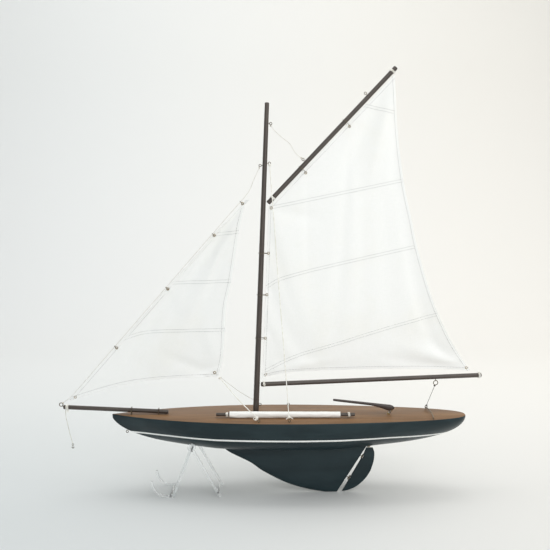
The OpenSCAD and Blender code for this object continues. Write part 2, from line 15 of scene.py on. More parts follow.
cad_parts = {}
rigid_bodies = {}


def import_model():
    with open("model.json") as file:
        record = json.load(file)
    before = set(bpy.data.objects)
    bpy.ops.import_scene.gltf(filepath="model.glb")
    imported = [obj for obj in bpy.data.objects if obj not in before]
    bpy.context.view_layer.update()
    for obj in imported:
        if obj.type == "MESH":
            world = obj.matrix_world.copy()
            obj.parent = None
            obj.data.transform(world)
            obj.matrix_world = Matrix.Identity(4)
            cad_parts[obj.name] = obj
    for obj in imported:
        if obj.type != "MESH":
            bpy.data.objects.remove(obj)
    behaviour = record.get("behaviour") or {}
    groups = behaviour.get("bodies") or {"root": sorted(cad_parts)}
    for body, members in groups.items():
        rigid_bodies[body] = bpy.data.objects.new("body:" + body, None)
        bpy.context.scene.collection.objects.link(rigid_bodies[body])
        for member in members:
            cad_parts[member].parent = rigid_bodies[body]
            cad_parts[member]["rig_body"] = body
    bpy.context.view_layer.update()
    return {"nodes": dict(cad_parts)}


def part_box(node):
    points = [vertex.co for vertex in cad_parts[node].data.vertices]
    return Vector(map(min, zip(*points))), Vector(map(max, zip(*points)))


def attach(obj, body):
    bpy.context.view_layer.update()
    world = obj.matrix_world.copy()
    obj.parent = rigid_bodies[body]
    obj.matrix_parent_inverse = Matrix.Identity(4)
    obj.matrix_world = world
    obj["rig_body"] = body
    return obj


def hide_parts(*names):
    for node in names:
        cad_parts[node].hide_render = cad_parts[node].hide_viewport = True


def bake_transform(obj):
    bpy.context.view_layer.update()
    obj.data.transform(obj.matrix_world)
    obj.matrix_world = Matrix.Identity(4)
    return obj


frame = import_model()
nodes = frame["nodes"]
scene = bpy.context.scene

# ---- Places
MM = 0.001
BOW_CUT = 3
DECK_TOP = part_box("deck")[1].z
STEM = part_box("deck")[0].x - BOW_CUT * MM


def ship(station, y, z):
    """The point at a station, a side and a height from the deck."""
    return Vector((STEM + station * MM, y * MM, DECK_TOP + z * MM))


def placed(name, data):
    """A new object in the scene."""
    made = bpy.data.objects.new(name, data)
    scene.collection.objects.link(made)
    return made


def turn(axis, degrees):
    return Matrix.Rotation(math.radians(degrees), 3, axis)


class Axes:
    """Axes of a group of pieces, which are laid out along them in millimetres."""

    def __init__(self, origin, turned):
        self.origin, self.turned = origin, turned

    def at(self, a, b, c):
        return self.origin + self.turned @ Vector((a, b, c)) * MM

    def way(self, a, b, c):
        return (self.turned @ Vector((a, b, c))).normalized()

    def inner(self, a, b, c, turned):
        """Axes that start at a point of these ones and are turned within them."""
        return Axes(self.at(a, b, c), self.turned @ turned)


MAST_RAKE, BOOM_ANGLE, BOOM_SLOPE, GAFF_SLOPE = 2.14, 8, 2.75, 48.4
LUFF_ANGLE, STOCK_RAKE = 48.86, 30.9
MAST_H, MAST_HEEL, BOOM_LEN, GAFF_LEN = 613, 54, 457, 366
MAST_R, MAST_TOP_R, SPAR_R, BOWSPRIT_R, STOWED_R = 6, 4.25, 4.5, 4.25, 3.4
GAFF_OUT, GAFF_UP = 0.5, 360.5
HEEL_S, HEEL_Z, TIP_S, TIP_Z = 113.6, 4.7, -95.6, 14.2
BOWSPRIT_LIFT = math.degrees(math.atan2(TIP_Z - HEEL_Z, HEEL_S - TIP_S))
BOWSPRIT_LEN = math.hypot(TIP_Z - HEEL_Z, HEEL_S - TIP_S)
ROLL_Y, ROLL_Z = -29, 6.6
MAST = Axes(ship(287.7, 0, 0), turn("Y", MAST_RAKE))
RIG = Axes(ship(299.6, 0, 60.3), turn("Y", MAST_RAKE) @ turn("Z", BOOM_ANGLE))
BOOM = RIG.inner(-1.5, 0, 0, turn("Y", 90 - BOOM_SLOPE))
GAFF = RIG.inner(GAFF_OUT, 0, GAFF_UP, turn("Y", 90 - GAFF_SLOPE))
LUFF = Axes(ship(-86.3, 0, 27.4), turn("Y", 90 - LUFF_ANGLE))
STOCK = Axes(ship(552.3, 0, 0), turn("Y", STOCK_RAKE))
BOWSPRIT = Axes(ship(HEEL_S, 0, HEEL_Z), turn("Y", BOWSPRIT_LIFT - 90))
ROLL = Axes(ship(0, ROLL_Y, ROLL_Z), turn("Y", 90))

# ---- Camera
CAMERA_PITCH, CAMERA_LENS = 5.665, 56.75
camera = placed("camera", bpy.data.cameras.new("camera"))
camera.location = ship(326, -1693.8, 446.65)
camera.rotation_euler = (math.radians(90 - CAMERA_PITCH), 0, 0)
camera.data.lens = CAMERA_LENS
camera.data.clip_start = 0.05
scene.camera = camera


# ---- Curves and shapes
def smooth(points, spacing):
    """Points about spacing apart on a smooth curve through the given ones."""
    p = [np.array(q, float) for q in points]
    p = [2 * p[0] - p[1], *p, 2 * p[-1] - p[-2]]
    out = []
    for a, b, c, d in zip(p, p[1:], p[2:], p[3:]):
        steps = max(2, int(np.linalg.norm(c - b) / spacing))
        for k in range(steps):
            t = k / steps
            square = (2 * a - 5 * b + 4 * c - d) * t**2
            cube = (3 * b - a - 3 * c + d) * t**3
            out.append(0.5 * (2 * b + (c - a) * t + square + cube))
    return [*out, p[-2]]


def run_along(points):
    """The distance along a line to each of its points."""
    return np.concatenate([[0], np.cumsum(np.linalg.norm(np.diff(points, axis=0), axis=1))])


def evenly(points, count):
    """count + 1 points evenly spaced along a line through the given ones."""
    p = np.array([list(q) for q in points], float)
    run = run_along(p)
    at = np.linspace(0, run[-1], count + 1)
    return np.stack([np.interp(at, run, p[:, k]) for k in range(p.shape[1])], axis=1)


def value_at(line, x):
    """The second number of a line of pairs, where its first number is x."""
    return float(np.interp(x, *zip(*line)))


def station_at(line, height):
    """The station of a line of (station, height) points, listed upwards, at a height."""
    return value_at([(z, s) for s, z in line], height)


def around(sides):
    return [2 * math.pi * k / sides for k in range(sides)]


def ways(points):
    """The way from the point before to the point after, for each point of a line."""
    return [b - a for a, b in zip([points[0], *points], [*points[1:], points[-1]])]


def frames_along(points):
    """A tangent and two directions across it at each point, without sudden turns."""
    tangents = [way.normalized() for way in ways(points)]
    across = tangents[0].orthogonal().normalized()
    out = []
    for t in tangents:
        across = (across - t * across.dot(t)).normalized()
        out.append((t, across, t.cross(across)))
    return out


class Shape:
    """Vertices and faces of one piece, in metres. A mark is the number of a face's material."""

    def __init__(self):
        self.verts, self.faces, self.marks = [], [], []

    def add(self, verts, faces):
        first = len(self.verts)
        self.verts += [tuple(v) for v in verts]
        self.faces += [tuple(first + k for k in f) for f in faces]
        self.marks += [0] * len(faces)

    def loft(self, rings):
        """A closed skin through rings that have the same number of points."""
        n = len(rings[0])
        faces = []
        for i in range(len(rings) - 1):
            for k in range(n):
                j = (k + 1) % n
                faces.append((i * n + k, i * n + j, (i + 1) * n + j, (i + 1) * n + k))
        faces += [tuple(range(n)), tuple(range((len(rings) - 1) * n, len(rings) * n))]
        self.add([v for ring in rings for v in ring], faces)

    def tube(self, points, radius, sides):
        """A round tube along points; radius is one number or a function of the share along it."""
        points = [Vector(p) for p in points]
        rings = []
        for i, (p, (_, a, b)) in enumerate(zip(points, frames_along(points))):
            r = radius(i / (len(points) - 1)) if callable(radius) else radius
            rings.append([p + (a * math.cos(w) + b * math.sin(w)) * r for w in around(sides)])
        self.loft(rings)

    def lathe(self, axes, profile, sides=40):
        """A turned piece round the axes' third direction; profile is (radius, height) in mm."""
        rings = []
        for r, h in profile:
            rings.append([axes.at(r * math.cos(w), r * math.sin(w), h) for w in around(sides)])
        self.loft(rings)

    def rope(self, points, radius, strands=3, lay=7, sides=6):
        """Twisted strands along points. radius is in metres, and lay is a turn's length in radii."""
        points = [Vector(p) for p in points]
        strand_r = radius / (1 + 1 / math.sin(math.pi / strands))
        reach = radius - strand_r
        turns = 2 * math.pi / (lay * radius) * run_along(points)
        across = frames_along(points)
        for first in around(strands):
            line = []
            for p, w, (_, a, b) in zip(points, turns, across):
                line.append(p + (a * math.cos(w + first) + b * math.sin(w + first)) * reach)
            self.tube(line, strand_r, sides)

    def piece(self, name, materials, sharp=40):
        mesh = bpy.data.meshes.new(name)
        mesh.from_pydata(self.verts, [], self.faces)
        skin = bmesh.new()
        skin.from_mesh(mesh)
        bmesh.ops.recalc_face_normals(skin, faces=skin.faces)
        skin.to_mesh(mesh)
        skin.free()
        for material in materials:
            mesh.materials.append(material)
        mesh.polygons.foreach_set("material_index", self.marks)
        mesh.polygons.foreach_set("use_smooth", [True] * len(mesh.polygons))
        mesh.set_sharp_from_angle(angle=math.radians(sharp))
        return placed(name, mesh)


def finish_piece(piece, body, slot, *replaced):
    """Says which body a piece rides and the CAD nodes it replaces; slot is not used."""
    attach(piece, body)
    if replaced:
        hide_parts(*replaced)
    return piece


# ---- Materials
class Paint:
    """A material's nodes, built up one at a time."""

    def __init__(self, name, **sockets):
        self.material = bpy.data.materials.new(name)
        self.material.use_nodes = True
        self.tree = self.material.node_tree
        self.shader = self.tree.nodes["Principled BSDF"]
        for socket, value in sockets.items():
            self.shader.inputs[socket.replace("_", " ")].default_value = value
        self.local = self.node("ShaderNodeTexCoord").outputs["Object"]

    def node(self, kind, **settings):
        made = self.tree.nodes.new(kind)
        for key, value in settings.items():
            setattr(made, key, value)
        return made

    def feed(self, made, **inputs):
        """Links or sets a node's inputs by name, or by number as n0, n1 and so on."""
        for key, value in inputs.items():
            socket = made.inputs[int(key[1:]) if key[0] == "n" and key[1:].isdigit() else key]
            if hasattr(value, "is_output"):
                self.tree.links.new(value, socket)
            else:
                socket.default_value = value
        return made

    def grain(self, axis, sizes):
        """Coordinates whose X runs along axis, in units of sizes, in metres."""
        made = self.node("ShaderNodeMapping", vector_type="TEXTURE")
        turned = Vector((1, 0, 0)).rotation_difference(Vector(axis)).to_euler()
        return self.feed(made, Vector=self.local, Rotation=turned, Scale=sizes).outputs[0]

    def even(self, size):
        """Coordinates in units of size, in metres."""
        return self.grain((1, 0, 0), (size,) * 3)

    def plane(self, turned, size):
        """Coordinates along a set of axes, in units of size."""
        made = self.node("ShaderNodeMapping", vector_type="TEXTURE")
        self.feed(made, Vector=self.local, Rotation=turned.to_euler(), Scale=(size,) * 3)
        return made.outputs[0]

    def split(self, where):
        return self.feed(self.node("ShaderNodeSeparateXYZ"), n0=where).outputs

    def noise(self, where, detail=4.0, roughness=0.5):
        made = self.node("ShaderNodeTexNoise")
        self.feed(made, Vector=where, Scale=1.0, Detail=detail, Roughness=roughness)
        return made.outputs["Fac"]

    def math(self, operation, a, b=0.0, c=0.0):
        made = self.node("ShaderNodeMath", operation=operation)
        return self.feed(made, n0=a, n1=b, n2=c).outputs[0]

    def spread(self, value, low, high, to_low=0.0, to_high=1.0):
        made = self.node("ShaderNodeMapRange", interpolation_type="SMOOTHSTEP")
        return self.feed(made, n0=value, n1=low, n2=high, n3=to_low, n4=to_high).outputs[0]

    def mix(self, share, a, b):
        made = self.node("ShaderNodeMix", data_type="RGBA")
        made.clamp_factor = True
        return self.feed(made, n0=share, n6=a, n7=b).outputs[2]

    def bump(self, height, distance, strength=1.0):
        made = self.node("ShaderNodeBump")
        self.feed(made, Height=height, Distance=distance, Strength=strength)
        self.feed(self.shader, Normal=made.outputs[0])

    def finish(self, colour, roughness):
        self.feed(self.shader, **{"Base Color": colour, "Roughness": roughness})
        return self.material


def rgb(r, g, b):
    """A colour from the 0 to 255 values that a screen shows."""
    shares = (r / 255, g / 255, b / 255)
    return (*(x / 12.92 if x < 0.04 else ((x + 0.055) / 1.055) ** 2.4 for x in shares), 1.0)


STRIPE_Z, STRIPE_HALF, STRIPE_WAVER = -36.5, 1.95, 0.5


def hull_paint(name, stripe):
    """Dark blue-green enamel, brushed on, with a white waterline and small scuffs."""
    m = Paint(name, Specular_IOR_Level=0.22, Coat_Weight=0.06, Coat_Roughness=0.2)
    clouds = m.noise(m.grain((1, 0, 0), (0.12, 0.04, 0.03)), detail=3)
    brush = m.noise(m.grain((1, 0, 0), (0.05, 0.0012, 0.0012)), detail=5, roughness=0.6)
    specks = m.noise(m.even(0.004), roughness=0.7)
    colour = m.mix(m.spread(clouds, 0.35, 0.65), rgb(28, 42, 46), rgb(36, 51, 55))
    colour = m.mix(m.spread(specks, 0.72, 0.8, 0, 0.3), colour, rgb(84, 92, 90))
    if stripe:
        _, _, up = m.split(m.local)
        waves = m.noise(m.even(0.03), detail=2)
        waver = m.math("MULTIPLY_ADD", waves, STRIPE_WAVER * MM, -STRIPE_WAVER / 2 * MM)
        height = m.math("ADD", up, waver)
        on = m.math("COMPARE", height, DECK_TOP + STRIPE_Z * MM, STRIPE_HALF * MM)
        white = m.mix(m.spread(specks, 0.4, 0.75), rgb(250, 251, 248), rgb(226, 229, 225))
        colour = m.mix(on, colour, white)
    m.bump(brush, 0.00006, 0.5)
    return m.finish(colour, m.spread(brush, 0.3, 0.7, 0.3, 0.42))


def wood(name, dark, light, axis, rough=(0.35, 0.5), coat=0.2, shine=0.5, grain=(0.05, 0.0016)):
    """Stained wood with fine pores and wider bands. grain is a fibre's length and width in metres."""
    m = Paint(name, Specular_IOR_Level=shine, Coat_Weight=coat, Coat_Roughness=0.2)
    long, wide = grain
    bands = m.noise(m.grain(axis, (long * 4, wide * 5, wide * 5)), detail=3)
    fibres = m.noise(m.grain(axis, (long, wide, wide)), detail=6, roughness=0.62)
    pores = m.noise(m.grain(axis, (long * 0.15, wide * 0.3, wide * 0.3)), detail=2)
    deepest = (*(0.45 * x for x in dark[:3]), 1.0)
    colour = m.mix(m.spread(fibres, 0.3, 0.7), dark, light)
    colour = m.mix(m.spread(bands, 0.35, 0.7, 0, 0.55), colour, dark)
    colour = m.mix(m.spread(pores, 0.62, 0.75, 0, 0.5), colour, deepest)
    m.bump(m.math("MULTIPLY_ADD", pores, -0.6, fibres), 0.00012, 0.6)
    return m.finish(colour, m.spread(fibres, 0.3, 0.7, *rough))


WEAVE, SLUB = 0.55 * MM, (0.012, 0.0005, 0.0005)


def sailcloth(name, turned, tint=0.0):
    """Thin white cotton with a plain weave, uneven threads and a little age."""
    m = Paint(name, Sheen_Weight=0.1, Sheen_Roughness=0.5)
    along, _, up = m.split(m.plane(turned, 1.0))
    pitch = 2 * math.pi / WEAVE
    warp = m.math("SINE", m.math("MULTIPLY", along, pitch))
    weft = m.math("SINE", m.math("MULTIPLY", up, pitch))
    weave = m.math("MULTIPLY", warp, weft)
    slubs_a, slubs_b = (m.noise(m.grain(turned.col[k], SLUB), detail=2) for k in (0, 2))
    slubs = m.math("ADD", slubs_a, slubs_b)
    age = m.noise(m.plane(turned, 0.13), roughness=0.6)
    colour = m.mix(m.spread(slubs, 0.8, 1.25), rgb(248, 249, 246), rgb(253, 253, 251))
    colour = m.mix(m.spread(age, 0.45, 0.75, tint, 0.3 + tint), colour, rgb(244, 242, 232))
    m.bump(m.math("MULTIPLY_ADD", slubs, 0.3, weave), 0.00004, 0.4)
    return m.finish(colour, m.spread(weave, -1, 1, 0.85, 0.95))


def fibre(name, light, dark, size=0.0004):
    """Spun thread: fine fibres and uneven colour."""
    m = Paint(name, Sheen_Weight=0.2)
    fuzz = m.noise(m.even(size), roughness=0.7)
    patches = m.noise(m.even(0.006), detail=2)
    colour = m.mix(m.spread(patches, 0.35, 0.65), light, dark)
    m.bump(fuzz, 0.00008, 0.7)
    return m.finish(colour, m.spread(fuzz, 0.3, 0.7, 0.8, 0.95))


def metal(name, clean, dull):
    """Drawn metal with tarnish in patches."""
    m = Paint(name, Metallic=1.0)
    tarnish = m.noise(m.even(0.003), detail=5, roughness=0.65)
    lines = m.noise(m.grain((0, 0, 1), (0.004, 0.0002, 0.0002)), detail=3)
    colour = m.mix(m.spread(tarnish, 0.4, 0.65), clean, dull)
    m.bump(lines, 0.00003, 0.4)
    return m.finish(colour, m.spread(tarnish, 0.35, 0.7, 0.25, 0.5))


def clear(name):
    """Clear acrylic strip with faint scratches."""
    m = Paint(name, Transmission_Weight=0.78, IOR=1.49)
    scratches = m.noise(m.grain((0.3, 0, 1), (0.02, 0.0004, 0.0004)), detail=3)
    haze = m.noise(m.even(0.02), detail=3)
    m.bump(scratches, 0.00002, 0.25)
    colour = m.mix(m.spread(haze, 0.4, 0.7), rgb(254, 255, 255), rgb(250, 253, 253))
    return m.finish(colour, m.spread(scratches, 0.55, 0.8, 0.04, 0.16))


ENAMEL = hull_paint("enamel", stripe=True)
ENAMEL_FIN = hull_paint("enamel_fin", stripe=False)
VARNISH = wood(
    "varnished_deck", rgb(108, 80, 55), rgb(153, 119, 85), (1, 0, 0), rough=(0.42, 0.55), coat=0.03,
    shine=0.16, grain=(0.09, 0.0028),
)
PALE = wood("pale_wood", rgb(176, 142, 98), rgb(206, 174, 126), (0, 1, 0), rough=(0.6, 0.75), coat=0.0)
DARK_STAIN, LIGHT_STAIN = rgb(52, 44, 39), rgb(86, 76, 68)
MAST_WOOD, BOOM_WOOD, GAFF_WOOD = (
    wood(name, DARK_STAIN, LIGHT_STAIN, axes.way(0, 0, 1))
    for name, axes in (("mast_wood", MAST), ("boom_wood", BOOM), ("gaff_wood", GAFF))
)
DECK_SPAR_WOOD = wood("deck_spar_wood", DARK_STAIN, LIGHT_STAIN, (1, 0, 0))
TILLER_WOOD = wood(
    "tiller_wood", rgb(44, 34, 30), rgb(78, 62, 54), (1, 0, -0.1), rough=(0.3, 0.45), coat=0.35,
)
MAIN_CLOTH = sailcloth("main_cloth", RIG.turned)
JIB_CLOTH = sailcloth("jib_cloth", LUFF.turned)
ROLL_CLOTH = sailcloth("roll_cloth", Matrix.Identity(3), 0.2)
# The stitching is painted dark grey: partly the thread's own colour, partly painted shade along the
# seams.
STITCH_AND_SEAM_SHADE = fibre("stitching", rgb(132, 132, 128), rgb(110, 110, 106))
WHITE_CORD = fibre("white_cord", rgb(250, 249, 243), rgb(234, 231, 220))
THREAD = fibre("thin_thread", rgb(212, 206, 192), rgb(178, 170, 154), 0.0002)
DARK_THREAD = fibre("dark_thread", rgb(58, 51, 44), rgb(38, 34, 30), 0.0002)
WIRE = metal("wire", rgb(132, 122, 104), rgb(74, 66, 54))
BRASS = metal("brass", rgb(170, 146, 98), rgb(104, 86, 56))
STEEL = metal("dull_steel", rgb(186, 184, 176), rgb(120, 112, 98))
ACRYLIC = clear("acrylic")


# ---- Cords
CORD_R, THREAD_R, MAINSHEET_R, LASH_R = 1.0 * MM, 0.4 * MM, 0.55 * MM, 0.7 * MM
UP = Vector((0, 0, 1))
DROOP, KNOT_SIZE, TURN_STEPS = 0.45, 2.1, 26


def tail(shape, start, way, length, radius):
    """A short free end of cord that droops."""
    way = Vector(way).normalized()
    points = []
    for k in range(9):
        t = k / 8
        points.append(start + way * length * t - UP * DROOP * length * t * t)
    shape.rope(points, radius, lay=6)


def knot(shape, centre, axis, radius):
    """An overhand knot: a trefoil of cord about an axis."""
    axis = Vector(axis).normalized()
    a = axis.orthogonal().normalized()
    b = axis.cross(a)
    points = []
    for k in range(49):
        w = 2 * math.pi * k / 48
        out = KNOT_SIZE * radius * (1 + 0.55 * math.cos(3 * w))
        lift = KNOT_SIZE * radius * 0.75 * math.sin(3 * w)
        points.append(centre + (a * math.cos(2 * w) + b * math.sin(2 * w)) * out + axis * lift)
    shape.tube(points, radius * 0.95, 7)


def knotted(line, spacing, radius, axis, knot_r):
    """Thin thread on a smooth line through the given points, with a knot at each end."""
    shape = Shape()
    shape.rope(smooth(line, spacing), radius, strands=2, sides=5)
    knot(shape, line[0], axis, knot_r)
    knot(shape, line[-1], axis, knot_r)
    return shape


def route(points):
    return [ship(*p) for p in points]


# The bobstay hangs from the bowsprit, with its hook on its end
bobstay_route = route([
    [-91.5, 0, 9], [-91.5, 0, 0], [-90, 0, -12], [-87, 0, -26], [-84, 0, -40], [-81, 0, -52],
    [-79, 0, -60],
])
bobstay_line = [Vector(p) for p in smooth(bobstay_route, 3 * MM)]
curve = bpy.data.curves.new("bobstay_thread", "CURVE")
curve.dimensions = "3D"
curve.bevel_depth = THREAD_R
curve.bevel_resolution = 3
curve.use_fill_caps = True
spline = curve.splines.new("POLY")
spline.points.add(len(bobstay_line) - 1)
for point, place in zip(spline.points, bobstay_line):
    point.co = (*place, 1)
curve.materials.append(THREAD)
bobstay = placed("bobstay_thread", curve)
finish_piece(bobstay, "hull", "thread", "bobstay")

# The forestay runs from the bowsprit's eye up inside the jib's luff to the mast
forestay_route = route([[-96.3, 0, 22.4]])
forestay_route += [LUFF.at(0, 0, distance) for distance in (20, 120, 240, 360, 480, 545)]
forestay_route += route([[284, 0, 463], [295.5, 0, 487.5]])
stay = knotted(forestay_route, 0.6 * MM, THREAD_R, (1, 0, 1), THREAD_R * 1.2)
finish_piece(stay.piece("forestay_thread", [THREAD]), "hull", "thread", "forestay")

# The main halyard comes down from the mast to the deck
halyard_route = route([
    [316, -2.5, 493], [316.5, -4, 480], [323, -14, 400], [331, -28, 290], [339, -41, 190],
    [347, -54, 90], [352, -62.5, 20], [353, -64, 8],
])
halyard_foot = halyard_route[-1]
halyard = Shape()
halyard.rope(smooth(halyard_route, 0.9 * MM), CORD_R)
knot(halyard, halyard_route[0], (0.2, -0.2, 1), CORD_R * 0.8)
knot(halyard, halyard_foot + UP * 3 * MM, (0, 0.1, 1), CORD_R * 0.8)
tail(halyard, halyard_foot + UP * 2 * MM, (0.9, -0.5, 0.25), 9 * MM, CORD_R * 0.8)
tail(halyard, halyard_foot + UP * 2 * MM, (-0.8, -0.6, 0.1), 7 * MM, CORD_R * 0.8)
finish_piece(halyard.piece("main_halyard_cord", [WHITE_CORD]), "hull", "cord", "main_halyard")


def bending(piece, replaced):
    """A cord between the hull and a moving body, baked in place in the shape it has now, with the CAD
    cord it replaces hidden.
    """
    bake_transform(piece)
    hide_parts(replaced)


# The peak halyard hangs slack from the mast head to the gaff
peak_route = route([
    [317.5, 0, 568], [325, 1, 559], [334, 2, 550.5], [344.5, 4, 542], [354.5, 5.5, 534],
    [363, 6.5, 520], [370, 8, 512], [377, 9, 507],
])
peak = knotted(peak_route, 0.5 * MM, THREAD_R, (1, 0, -1), THREAD_R * 1.2)
peak_piece = peak.piece("peak_halyard_thread", [THREAD])
bending(peak_piece, "peak_halyard")

# A jib sheet leads from the jib's clew to a deck eye on each side
SHEET_ROUTE = [[217, 3, 74], [224, 9, 67], [238, 20, 53], [256, 34, 36], [276, 49, 20], [291, 61, 9]]
for side, word, radius, strands, material, slot in (
    (-1, "port", CORD_R, 3, WHITE_CORD, "cord"),
    (1, "starboard", THREAD_R, 2, THREAD, "thread"),
):
    sheet_route = route([[s, side * y, z] for s, y, z in SHEET_ROUTE])
    clew, eye = sheet_route[0], sheet_route[-1]
    sheet = Shape()
    sheet.rope(smooth(sheet_route, 0.9 * radius), radius, strands=strands)
    knot(sheet, clew, (1, side, -0.6), radius * 0.8)
    if word == "port":
        loop = []
        for k in range(25):
            w = 2 * math.pi * k / 24 - 0.5
            loop.append(eye + Vector((4.2 * math.cos(w) - 2, -1.2, 3 * math.sin(w) - 1.5)) * MM)
        sheet.rope(loop, CORD_R * 0.8)
        tail(sheet, eye, (-0.4, -1, 0), 8 * MM, CORD_R * 0.8)
    knot(sheet, eye, (1, side, -0.6), radius * 0.85)
    sheet_piece = sheet.piece(f"jib_sheet_{word}_cord", [material])
    bending(sheet_piece, f"jib_sheet_{word}")

# The mainsheet runs from the boom's eye to the ring on the horse
HORSE_R, HORSE_LOCAL, SHEET_LAG = 339.3, -43.7, 1
sheet_top = RIG.at(356.8, 0, -1.2)
sheet_foot = RIG.at(HORSE_R + 0.6, -HORSE_R * math.sin(math.radians(SHEET_LAG)), HORSE_LOCAL + 3.3)
mainsheet_line = [sheet_top, sheet_top.lerp(sheet_foot, 0.5), sheet_foot]
mainsheet = knotted(mainsheet_line, 0.5 * MM, MAINSHEET_R, (0, 0, 1), MAINSHEET_R)
finish_piece(mainsheet.piece("mainsheet_cord", [DARK_THREAD]), "boom", "thread", "mainsheet")


def lashing(shape, axes, height, radius, turns, knot_angle):
    """Turns of cord round a spar from a height up, finished with a knot and two tails."""
    height, radius = height * MM, radius * MM

    def beside(angle, out, along):
        return axes.turned @ Vector((out * math.cos(angle), out * math.sin(angle), along))

    points = []
    for k in range(TURN_STEPS * turns + 1):
        w = 2 * math.pi * k / TURN_STEPS
        climb = height + LASH_R + 2 * LASH_R * k / TURN_STEPS
        points.append(axes.origin + beside(w, radius + LASH_R, climb))
    shape.rope(points, LASH_R, lay=6)
    w = math.radians(knot_angle)
    out, along = beside(w, 1, 0), axes.way(0, 0, 1)
    middle = axes.origin + out * (radius + 2.6 * LASH_R) + along * (height + turns * LASH_R)
    knot(shape, middle, axes.turned @ Vector((-math.sin(w), math.cos(w), 0)), LASH_R * 0.75)
    tail(shape, middle, out + along * 0.8, 6 * LASH_R, LASH_R * 0.7)
    tail(shape, middle, out - along * 0.6, 5 * LASH_R, LASH_R * 0.7)


# Each lashing has its height along the spar and its knot's angle round it
TIE_S = -84
TIE_AT = (HEEL_S - TIE_S) / math.cos(math.radians(BOWSPRIT_LIFT))
for name, body, replaced, axes, radius, turns, places in (
    ("boom_lashing_cord", "boom", "boom_lashings", BOOM, SPAR_R, 3, ((3, 250), (BOOM_LEN - 8, 200))),
    ("gaff_lashing_cord", "gaff", "gaff_lashings", GAFF, SPAR_R, 3, ((9, 110), (GAFF_LEN - 16, 230))),
    ("bowsprit_lashing_cord", "hull", "bowsprit_lashing", BOWSPRIT, BOWSPRIT_R, 4, ((TIE_AT, 200),)),
    ("spar_tie_cord", "hull", "spar_ties", ROLL, STOWED_R, 3, ((229, 240), (468, 220))),
):
    ties = Shape()
    for height, angle in places:
        lashing(ties, axes, height, radius, turns, angle)
    finish_piece(ties.piece(name, [WHITE_CORD]), body, "cord", replaced)


# ---- Hull and deck
HULL_LEN, BEAM, BODY_DEPTH, WALL, DECK_T = 705, 154, 70, 5, 3
WIDE_AT = 0.52 * HULL_LEN


def bow_u(s):
    return (WIDE_AT - s) / WIDE_AT


def stern_u(s):
    return (s - WIDE_AT) / (HULL_LEN - WIDE_AT)


def half_breadth(s):
    return BEAM / 2 * ((1 - bow_u(s) ** 2.5) ** 0.98 if s < WIDE_AT else (1 - stern_u(s) ** 1.4) ** 0.4)


def depth(s):
    return BODY_DEPTH * ((1 - bow_u(s) ** 3) ** 0.55 if s < WIDE_AT else (1 - stern_u(s) ** 2) ** 0.4)


def between(x, a, b):
    return min(1, max(0, (x - a) / (b - a)))


def section(s, inset, steps):
    """A section of the hull from its starboard top, under the keel, to its port top."""
    full = between(s, 60, 210) if s < WIDE_AT else 1 - between(s, 450, 550)
    m = 1.1 + 0.9 * full if s < WIDE_AT else 1.7 + 0.3 * full
    n = 0.95 - 0.45 * full if s < WIDE_AT else 0.8 - 0.3 * full
    side = []
    for k in range(steps + 1):
        v = (1 - full) * k / steps + full * math.sin(math.pi / 2 * k / steps)
        y = (half_breadth(s) - inset) * max(0, 1 - v**m) ** n
        side.append((y, -DECK_T - (depth(s) - inset - DECK_T) * v))
    return [ship(s, y, z) for y, z in side] + [ship(s, -y, z) for y, z in side[-2::-1]]


def stations(first, last, steps):
    """Stations closer together at the ends."""
    return [first + (last - first) * (1 - math.cos(math.pi * k / steps)) / 2 for k in range(steps + 1)]


HULL_STEPS, SECTION_STEPS = 96, 20
SKIN_ENDS, HOLLOW_ENDS = (2, 704.6), (46, 668)
outer = [section(s, 0, SECTION_STEPS) for s in stations(*SKIN_ENDS, HULL_STEPS)]
inner = [section(s, WALL, SECTION_STEPS) for s in stations(*HOLLOW_ENDS, HULL_STEPS)]
width = len(outer[0])
far, last = len(outer) * width, HULL_STEPS * width
skin, rim = [], []
for i in range(HULL_STEPS):
    here, after = i * width, (i + 1) * width
    for k in range(width - 1):
        skin.append((here + k, here + k + 1, after + k + 1, after + k))
    for k in (0, width - 1):
        rim.append((here + k, after + k, far + after + k, far + here + k))
inside = [tuple(far + k for k in face) for face in skin]
ends = [tuple(range(first, first + width)) for first in (0, last, far, far + last)]
ends += [(k, k + width - 1, far + k + width - 1, far + k) for k in (0, last)]
hull = Shape()
hull.add([v for ring in outer + inner for v in ring], skin + inside + rim + ends)
finish_piece(hull.piece("hull_skin", [ENAMEL], 50), "hull", "hull_paint", "hull_shell")

# The deck's edge is painted, its top varnished and its underside bare
DECK_EDGE = [(0, -DECK_T), (0, -0.7), (0.2, -0.2), (0.7, 0)]
deck = Shape()
rings = []
for s in stations(*SKIN_ENDS, HULL_STEPS):
    side = [(max(half_breadth(s) - inset, 0.1), z) for inset, z in DECK_EDGE]
    rings.append([ship(s, y, z) for y, z in side] + [ship(s, -y, z) for y, z in side[::-1]])
deck.loft(rings)
for first in range(0, HULL_STEPS * len(rings[0]), len(rings[0])):
    deck.marks[first + len(DECK_EDGE) - 1] = 1
    deck.marks[first + len(rings[0]) - 1] = 2
finish_piece(deck.piece("deck_panel", [ENAMEL, VARNISH, PALE], 60), "hull", "deck_varnish", "deck")


# ---- Keel and rudder
def nearest(points, x, z):
    """Distance from a point to a line of straight stretches, in mm."""
    best = 1e9
    for (ax, az), (bx, bz) in zip(points, points[1:]):
        dx, dz = bx - ax, bz - az
        t = min(1, max(0, ((x - ax) * dx + (z - az) * dz) / (dx * dx + dz * dz)))
        best = min(best, math.hypot(x - ax - t * dx, z - az - t * dz))
    return best


def rounded(distance, edge_half, half, reach):
    """Half a board's thickness where its edge is rounded over reach."""
    t = 1 - min(distance / reach, 1)
    return edge_half + (half - edge_half) * math.sqrt(1 - t * t)


